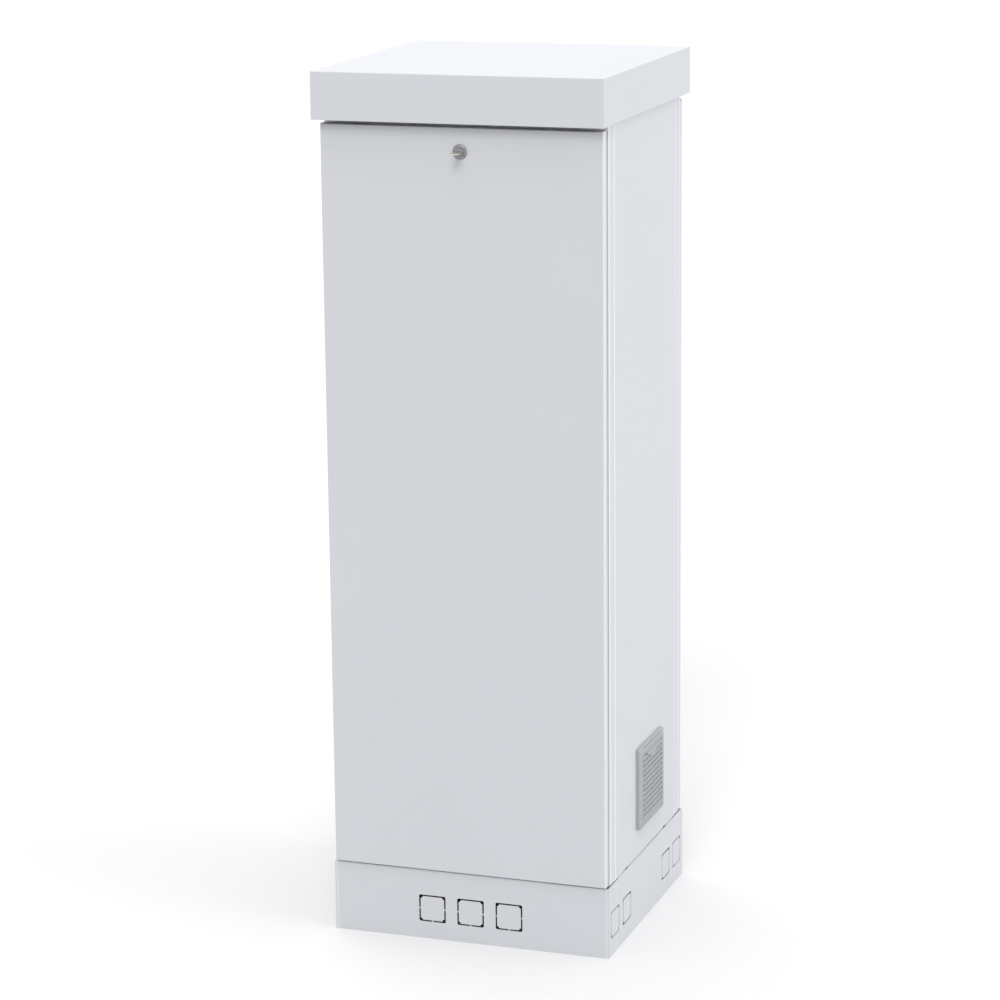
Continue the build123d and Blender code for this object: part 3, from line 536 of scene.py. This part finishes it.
def moulding_profile():
    """Inset from the cover's edge and height out of the panel, round the section of the moulding.

    A wall, a bevel and a flat rim of even thickness, with arcs at the outer corners and a lip that turns
    back inside.
    """
    foot, shoulder = (0.0, COVER_GAP), (0.0, COVER_EDGE)
    crest, rim_end = (BEVEL_WIDTH, COVER_TOP), (RIM_WIDTH, COVER_TOP)
    lip_end, lip_inside = (RIM_WIDTH, LIP_FOOT), (RIM_WIDTH - COVER_WALL, LIP_FOOT)
    shoulder_arc = rounded_corner(foot, shoulder, crest, SHOULDER_ROUND, steps=5)
    crest_arc = rounded_corner(shoulder, crest, rim_end, CREST_ROUND, steps=5)
    lip_arc = rounded_corner(crest, rim_end, lip_end, LIP_ROUND, steps=4)
    bevel = np.linspace(shoulder_arc[-1], crest_arc[0], 41)[1:-1]
    slope = (COVER_TOP - COVER_EDGE) / BEVEL_WIDTH
    under = COVER_WALL * math.hypot(1.0, slope)
    ceiling = COVER_TOP - COVER_WALL
    ceiling_start = BEVEL_WIDTH + (under - COVER_WALL) / slope
    return np.concatenate([
        np.linspace(foot, shoulder_arc[0], 3)[:-1],
        shoulder_arc,
        bevel,
        crest_arc,
        np.linspace(crest_arc[-1], lip_arc[0], 3)[1:-1],
        lip_arc,
        [lip_end, lip_inside, (lip_inside[0], ceiling), (ceiling_start, ceiling)],
        bevel[::-1] - (0.0, under),
        [(COVER_WALL, COVER_EDGE / 2), (COVER_WALL, COVER_GAP)],
    ])


def moulding():
    """Cover moulding: its profile carried round a rounded square.

    A grip groove sinks into the top bevel. The foot of the wall rises near the bottom edge, so that the cover
    can swing down about its hinge.
    """
    inset, out = moulding_profile().T
    share_y, share_z, angle = square_way(side_steps=96, corner_steps=7)
    half = COVER_HALF - COVER_CORNER - inset
    across = share_y * half + COVER_CORNER * np.cos(angle)
    up = share_z * half + COVER_CORNER * np.sin(angle)
    on_top = np.isclose(share_z, 1.0)
    within = np.clip((GRIP_WIDTH / 2 - np.abs(inset - GRIP_INSET)) / GRIP_SLOPE, 0.0, 1.0)
    along = np.clip((GRIP_HALF - np.abs(across)) / GRIP_END, 0.0, 1.0)
    out = out - GRIP_DEPTH * within * along * on_top
    rise = (HINGE_OUT - COVER_GAP) * np.clip(1.0 - (up + COVER_HALF) / HINGE_UP, 0.0, 1.0)
    share = np.clip((COVER_EDGE - out) / (COVER_EDGE - COVER_GAP), 0.0, 1.0)
    return ring_form(over_filter(out + rise * share, across, up))


def slat(up, first, last):
    """Slat: a blade that falls outward from a thin root to a thicker nose, both rounded, carried along Y.

    The two arcs end where the lines between them touch both circles.
    """
    blade = SLAT_NOSE - SLAT_ROOT
    down = math.atan2(blade[1], blade[0])
    lean = np.pi / 2 + math.asin((SLAT_NOSE_ROUND - SLAT_ROOT_ROUND) / np.linalg.norm(blade))
    round_nose = np.linspace(down - lean, down + lean, 15)
    round_root = np.linspace(down + lean, down + 2 * np.pi - lean, 9)
    section = np.concatenate([
        SLAT_NOSE + SLAT_NOSE_ROUND * np.stack([np.cos(round_nose), np.sin(round_nose)], axis=-1),
        SLAT_ROOT + SLAT_ROOT_ROUND * np.stack([np.cos(round_root), np.sin(round_root)], axis=-1),
    ])
    along = np.linspace(first, last, 9)[:, None]
    return bar_form(over_filter(section[:, 0], along, up + section[:, 1]))


def latch_plate():
    """Latch plate: a trapezium under the top rim, its face rounded down towards the three free edges."""
    share = np.sin(np.linspace(-np.pi / 2, np.pi / 2, 49))
    rise = (1.0 - np.cos(np.linspace(0.0, np.pi / 2, 21)))[:, None]
    reach = FIELD_HALF + LATCH_LAP - LATCH_LOW
    half = LATCH_FOOT + (LATCH_HALF - LATCH_FOOT) * rise
    edge = math.cos(math.atan2(LATCH_HALF - LATCH_FOOT, reach))
    near = np.minimum((1.0 - np.abs(share)) * half * edge, rise * reach)
    fall = LATCH_ROUND - np.minimum(near, LATCH_ROUND)
    out = LATCH_OUT - (LATCH_ROUND - np.sqrt(LATCH_ROUND**2 - fall**2))
    across = share * half
    up = np.broadcast_to(LATCH_LOW + reach * rise, across.shape)
    return plate_form(over_filter(out, across, up), over_filter(LATCH_BACK, across, up))


def hinge_bar(first, last, slotted):
    """Hinge bar inside the bottom edge, chamfered on the wall side and slotted where a hinge pin lies."""
    ridge = [(BAR_TOE, BAR_FOOT), (BAR_FRONT, BAR_FOOT), (BAR_FRONT, BAR_HEAD), (BAR_BACK, BAR_HEAD)]
    slot = [(BAR_BACK, SLOT_HEAD), (SLOT_END, SLOT_HEAD), (SLOT_END, SLOT_FOOT), (SLOT_TOE, SLOT_FOOT)]
    back = slot if slotted else [(BAR_BACK, BAR_HEEL)]
    out, up = np.array(ridge + back).T
    return bar_form(over_filter(out, np.array([[first], [last]]), up - COVER_HALF))


slat_ups = (np.arange(SLAT_COUNT) + 0.5) * SLAT_PITCH - FIELD_HALF
slat_end = FIELD_HALF + SLAT_LAP
bar_end = COVER_HALF - BAR_GAP
grille_forms = [moulding(), latch_plate()]
grille_forms += [slat(up, -slat_end, slat_end) for up in slat_ups[:-1]]
grille_forms += [slat(slat_ups[-1], side * SLAT_STUB, side * slat_end) for side in (-1, 1)]
grille_forms += [
    hinge_bar(-bar_end, -ARM_PLACE - ARM_HALF, slotted=True),
    hinge_bar(ARM_HALF - ARM_PLACE, ARM_PLACE - ARM_HALF, slotted=False),
    hinge_bar(ARM_PLACE + ARM_HALF, bar_end, slotted=True),
]
make_piece("moulded_grille", "cover", "grille_plastic", grille_forms, "grille_cover")


# Lock rosette

ROSETTE_ROUND = lock_high[0]
ROSETTE_FACE = lock_low[1]
RIM_ROUND = (2.6, 1.8)
RING_PLACE = 9.4
RING_GROOVE = (0.7, 0.4)
BORE_ROUND = 6.1
BARREL_ROUND = 9.5
BARREL_END = lock_high[1]
BARREL_CHAMFER = 0.4
THREAD_SETBACK = 2.2
THREAD_START = DOOR_FACE + THREAD_SETBACK
THREAD_PITCH = 1.5
THREAD_TURNS = 18
THREAD_DEPTH = 0.36
THREAD_LEAD = 0.1


def turned(profile, steps):
    """Form turned about the lock's axis from a closed profile of radius and place along Y."""
    radius, along = profile.T
    angle = np.linspace(0.0, 2 * np.pi, steps, endpoint=False)[:, None]
    across = radius * np.cos(angle)
    up = LOCK_Z + radius * np.sin(angle)
    return ring_form(np.stack(np.broadcast_arrays(across, along, up), axis=-1))


def rosette():
    """Lock body: a flange with a ring groove and a rounded edge, and a barrel threaded behind the door.

    Groove and edge are half and quarter of an ellipse. The thread's radius is a cosine of the place along it.
    """
    half_turn = np.linspace(0.0, np.pi, 5)
    ring_radius = RING_PLACE - RING_GROOVE[0] * np.cos(half_turn)
    ring_along = ROSETTE_FACE + RING_GROOVE[1] * np.sin(half_turn)
    quarter_turn = np.linspace(0.0, np.pi / 2, 5)
    rim_radius = ROSETTE_ROUND - RIM_ROUND[0] * (1.0 - np.sin(quarter_turn))
    rim_along = ROSETTE_FACE + RIM_ROUND[1] * (1.0 - np.cos(quarter_turn))
    turns = np.linspace(0.0, THREAD_TURNS, 8 * THREAD_TURNS + 1)
    thread_radius = BARREL_ROUND - THREAD_DEPTH / 2 * (1.0 - np.cos(2 * np.pi * turns))
    thread_along = THREAD_START + THREAD_PITCH * turns
    before_thread = [
        (ROSETTE_ROUND, DOOR_FACE),
        (BARREL_ROUND, DOOR_FACE),
        (BARREL_ROUND, THREAD_START - THREAD_LEAD),
    ]
    after_thread = [
        (BARREL_ROUND, thread_along[-1] + THREAD_LEAD),
        (BARREL_ROUND, BARREL_END - BARREL_CHAMFER),
        (BARREL_ROUND - BARREL_CHAMFER, BARREL_END),
        (BORE_ROUND, BARREL_END),
    ]
    profile = np.concatenate([
        [(BORE_ROUND, ROSETTE_FACE)],
        np.stack([ring_radius, ring_along], axis=-1),
        np.stack([rim_radius, rim_along], axis=-1),
        before_thread,
        np.stack([thread_radius, thread_along], axis=-1),
        after_thread,
    ])
    return turned(profile, steps=96)


make_piece("lock_rosette", "door", "lock_metal", [rosette()], "lock_body")


# Key: a pierced bow and a cut blade

KEY_HALF = (key_high - key_low)[2] / 2
BOW_HALF = key_high[0]
BOW_START = key_low[1]
BOW_LENGTH = 22.0
BOW_CORNER = 6.0
HOLE_INSET = 5.5
HOLE_PLACE = BOW_START + HOLE_INSET
HOLE_ROUND = 2.5
OUTER_RIM_SHARE = 0.09
HOLE_RIM_SHARE = 0.12
RIM_HEIGHT_SHARE = 0.5
BLADE_HALF = 4.0
BLADE_LAP = 1.0
BLADE_START = BOW_START + BOW_LENGTH - BLADE_LAP
BLADE_END = key_high[1]
BLADE_SQUARENESS = 0.35
GROOVE_DEPTH = 0.4
GROOVE_HALF = 0.9
CUT_LEAD = 1.0
CUT_START = PLUG_FACE + CUT_LEAD
CUT_DEPTH = 0.9
CUT_PITCH = 4.0
TIP_LENGTH = 2.5
TIP_NARROWING_SHARE = 0.5


def bow_outline(steps):
    """Rounded rectangle of the key bow in X and Y: a quarter arc at each corner, then the side after it."""
    corner = np.array([[1.0, 1.0], [-1.0, 1.0], [-1.0, -1.0], [1.0, -1.0]])
    reach = np.array([BOW_HALF, BOW_LENGTH / 2]) - BOW_CORNER
    angle = np.arange(4)[:, None] * np.pi / 2 + np.linspace(0.0, np.pi / 2, steps)
    arcs = corner[:, None] * reach + BOW_CORNER * np.stack([np.cos(angle), np.sin(angle)], axis=-1)
    onward = np.roll(arcs[:, :1], -1, axis=0) - arcs[:, -1:]
    sides = arcs[:, -1:] + onward * np.linspace(0.0, 1.0, steps, endpoint=False)[1:, None]
    return np.concatenate([arcs, sides], axis=1).reshape(-1, 2) + (0.0, BOW_START + BOW_LENGTH / 2)


def key_bow():
    """Key bow: a rounded rectangle pierced by a ring hole, with both rims rounded over.

    Each ray from the hole's centre runs from the outline to the hole. The closed profile gives the share of
    that way and the height of the sheet, with a quarter ellipse at each rim.
    """
    spoke = bow_outline(steps=24) - (0.0, HOLE_PLACE)
    heading = np.arctan2(spoke[:, 1], spoke[:, 0])
    order = np.argsort(heading)
    ray = np.linspace(-np.pi, np.pi, 128, endpoint=False)
    reach = np.interp(ray, heading[order], np.linalg.norm(spoke, axis=-1)[order], period=2 * np.pi)
    turn = np.linspace(0.0, np.pi / 2, 3)
    outer_rim = OUTER_RIM_SHARE * (1.0 - np.cos(turn))
    hole_rim = 1.0 - HOLE_RIM_SHARE * (1.0 - np.sin(turn))
    rise = 1.0 - RIM_HEIGHT_SHARE * (1.0 - np.sin(turn))
    share = np.concatenate([outer_rim, [0.5], hole_rim])
    height = np.concatenate([rise, [1.0], rise[::-1]])
    share = np.concatenate([share, share[::-1]])
    height = np.concatenate([height, -height[::-1]])
    radius = reach[:, None] + (HOLE_ROUND - reach[:, None]) * share
    across = radius * np.cos(ray)[:, None]
    along = HOLE_PLACE + radius * np.sin(ray)[:, None]
    return ring_form(np.stack(np.broadcast_arrays(across, along, KEY_Z + KEY_HALF * height), axis=-1))


def key_blade():
    """Key blade: a squarish superellipse carried into the lock, grooved along both faces and cut on one edge.

    The cuts are a cosine along the blade and the groove is a bell curve across it. The tip narrows with the
    square of the way to the end.
    """
    along = np.linspace(BLADE_START, BLADE_END, 133)[:, None]
    angle = np.linspace(0.0, 2 * np.pi, 48, endpoint=False)
    wide = np.sign(np.cos(angle)) * np.abs(np.cos(angle)) ** BLADE_SQUARENESS
    edge_highlight = np.sign(np.sin(angle)) * np.abs(np.sin(angle)) ** BLADE_SQUARENESS
    past_start = along - CUT_START
    wave = 0.5 - 0.5 * np.cos(2 * np.pi * past_start / CUT_PITCH)
    cut = CUT_DEPTH * np.clip(past_start / CUT_LEAD, 0.0, 1.0) * wave
    near_end = np.clip((along - BLADE_END) / TIP_LENGTH + 1.0, 0.0, 1.0)
    tip = 1.0 - TIP_NARROWING_SHARE * near_end**2
    across = wide * tip * np.where(wide > 0.0, BLADE_HALF - cut, BLADE_HALF)
    height = edge_highlight * (KEY_HALF - GROOVE_DEPTH * np.exp(-((across / GROOVE_HALF) ** 2)))
    return bar_form(np.stack(np.broadcast_arrays(across, along, KEY_Z + height), axis=-1))


make_piece("cut_key", "lock", "key_metal", [key_bow(), key_blade()], "key")


# Dark foam pads under the side panels, put there as painted shade: they show as dark spots through the slots
# at their feet

PAD_X = 292.8
PAD_Y = 140.3
PAD_HALF = (4.6, 8.0)
PAD_RISE = 1.4
PAD_RIM_SHARE = 0.25


def shade_pad(side, end):
    """Low pillow: its height falls with the fourth power of the distance from the middle, both ways."""
    way = np.sin(np.linspace(-np.pi / 2, np.pi / 2, 17))
    x, y = np.meshgrid(way, way, indexing="ij")
    rise = PAD_RISE * (PAD_RIM_SHARE + (1.0 - PAD_RIM_SHARE) * (1.0 - x**4) * (1.0 - y**4))
    across = side * PAD_X + PAD_HALF[0] * x
    deep = end * PAD_Y + PAD_HALF[1] * y
    over = np.stack([across, deep, PLINTH_TOP + rise], axis=-1)
    below = np.stack([across, deep, np.full_like(rise, PLINTH_TOP)], axis=-1)
    return plate_form(over, below)


make_piece("shade_pads", "cabinet", "foam", [shade_pad(side, end) for side in (1, -1) for end in (-1, 1)])


# Floor

FLOOR_HALF = 30.0

floor_mesh = bpy.data.meshes.new("floor")
floor_corners = [(x * FLOOR_HALF, y * FLOOR_HALF, 0.0) for x, y in ((-1, -1), (1, -1), (1, 1), (-1, 1))]
floor_mesh.from_pydata(floor_corners, [], [(0, 1, 2, 3)])
floor_mesh.materials.append(pale_floor())
floor = add_object("floor", floor_mesh)


# Light

WHITE = (1.0, 1.0, 1.0, 1.0)
SKY_LIGHT = 0.50
LAMPS = {
    "high_sun": {"strength": 1.61, "towards": (0.0, 0.0, 1.0), "spread": 60.0, "gloss": True},
    "side_sun": {"strength": 1.40, "towards": (0.985, 0.0, 0.17), "spread": 40.0, "gloss": True},
    "front_sun": {"strength": 1.26, "towards": (0.157, -0.738, 0.656), "spread": 28.0, "gloss": True},
    "back_fill": {"strength": 0.62, "towards": (-0.62, 0.70, 0.35), "spread": 60.0, "gloss": False},
}


def plain_sky():
    """World that lights the object evenly, and that shows white to the camera, in gloss and through glass."""
    world = bpy.data.worlds.new("sky")
    world.use_nodes = True
    tree = NodeTree(world.node_tree)
    seen = tree.node("ShaderNodeLightPath", out="Is Camera Ray")
    for ray in ("Is Glossy Ray", "Is Transmission Ray"):
        seen = tree.math("MAXIMUM", seen, tree.node("ShaderNodeLightPath", out=ray))
    lit = tree.node("ShaderNodeBackground", inputs={"Color": WHITE, "Strength": SKY_LIGHT})
    shown = tree.node("ShaderNodeBackground", inputs={"Color": WHITE, "Strength": 1.0})
    tree.end("ShaderNodeOutputWorld", tree.node("ShaderNodeMixShader", inputs={0: seen, 1: lit, 2: shown}))
    return world


def add_sun(name, strength, towards, spread, gloss):
    """Sun lamp that stands in one direction from the object, as wide as its spread in degrees."""
    sun = bpy.data.lights.new(name, "SUN")
    sun.energy = strength
    sun.angle = math.radians(spread)
    lamp = add_object(name, sun)
    lamp.rotation_euler = Vector(towards).to_track_quat("Z", "Y").to_euler()
    lamp.visible_glossy = gloss


scene.world = plain_sky()
for lamp_name, lamp_values in LAMPS.items():
    add_sun(lamp_name, **lamp_values)


# Camera, from the photograph's edges

CAMERA_PLACE = (2.2405, -6.6028, 2.5447)
CAMERA_AZIMUTH = 20.102
CAMERA_ELEVATION = 13.627
CAMERA_ROLL = -0.855
CAMERA_LENS = 123.4
CAMERA_SENSOR = 36.0
CAMERA_SHIFT = (0.07, 0.015)
CAMERA_REACH = 200.0


def camera_turn(azimuth, elevation, roll):
    """Camera axes as columns: right and up turned about the view by roll, and back towards the camera."""
    az, el, turn = np.radians([azimuth, elevation, roll])
    back = np.array([np.sin(az) * np.cos(el), -np.cos(az) * np.cos(el), np.sin(el)])
    level = unit(np.cross((0.0, 0.0, 1.0), back))
    upright = np.cross(back, level)
    right = np.cos(turn) * level + np.sin(turn) * upright
    up = np.cos(turn) * upright - np.sin(turn) * level
    return Matrix(np.column_stack([right, up, back]).tolist())


camera = bpy.data.cameras.new("camera")
camera.sensor_width = CAMERA_SENSOR
camera.lens = CAMERA_LENS
camera.shift_x, camera.shift_y = CAMERA_SHIFT
camera.clip_end = CAMERA_REACH
turned_camera = camera_turn(CAMERA_AZIMUTH, CAMERA_ELEVATION, CAMERA_ROLL).to_4x4()
scene.camera = add_object("camera", camera)
scene.camera.matrix_world = Matrix.Translation(CAMERA_PLACE) @ turned_camera

scene.view_settings.view_transform = "Standard"
